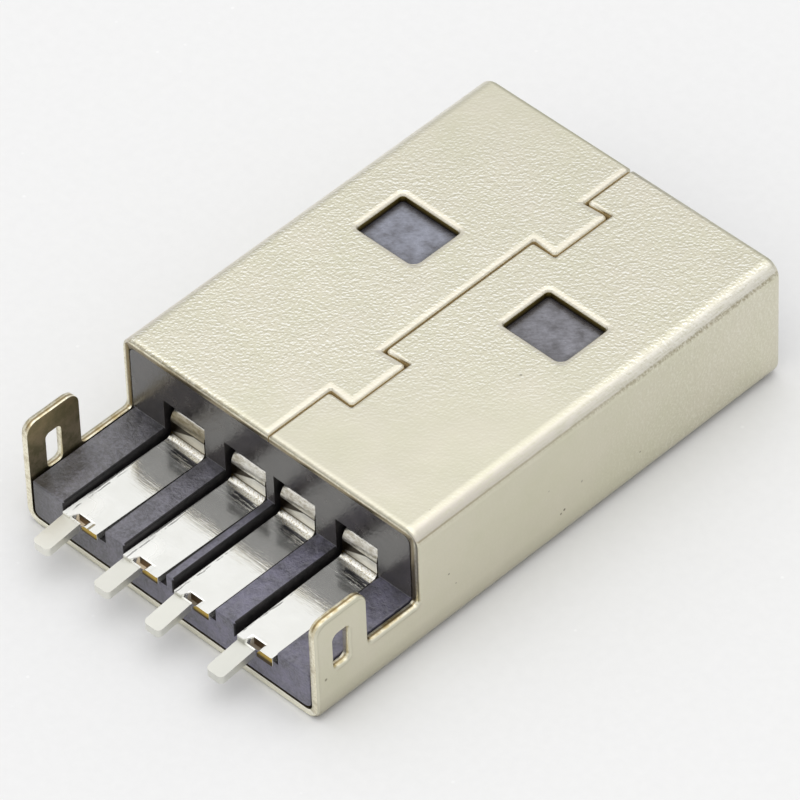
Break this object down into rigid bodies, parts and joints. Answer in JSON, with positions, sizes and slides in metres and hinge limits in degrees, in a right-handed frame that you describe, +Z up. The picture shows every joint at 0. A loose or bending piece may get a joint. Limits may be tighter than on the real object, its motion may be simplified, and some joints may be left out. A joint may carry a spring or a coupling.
{
  "type": "usb-a plug",
  "caption": "Flat rectangular plug: a folded metal shell with latch windows round a moulded tongue, and a rear deck with ears and stepped solder tails.",
  "frame": {"origin": "on the underside, in the middle of the width and of the overall length with the tails", "axes": "+Y runs along the plug to its mouth, +Z is up through the broad face with the seam, +X is to the right when looking from the tails to the mouth"},
  "size_m": [0.012, 0.0206, 0.0045],
  "materials": {
    "plated_sheet": "satin plating",
    "dark_moulding": "satin",
    "plated_strip": "bright plating"
  },
  "bodies": {
    "root": {"shell": "plated_sheet", "insulator": "dark_moulding", "contact_outer_left": "plated_strip", "contact_inner_left": "plated_strip", "contact_inner_right": "plated_strip", "contact_outer_right": "plated_strip"}
  },
  "joints": []
}
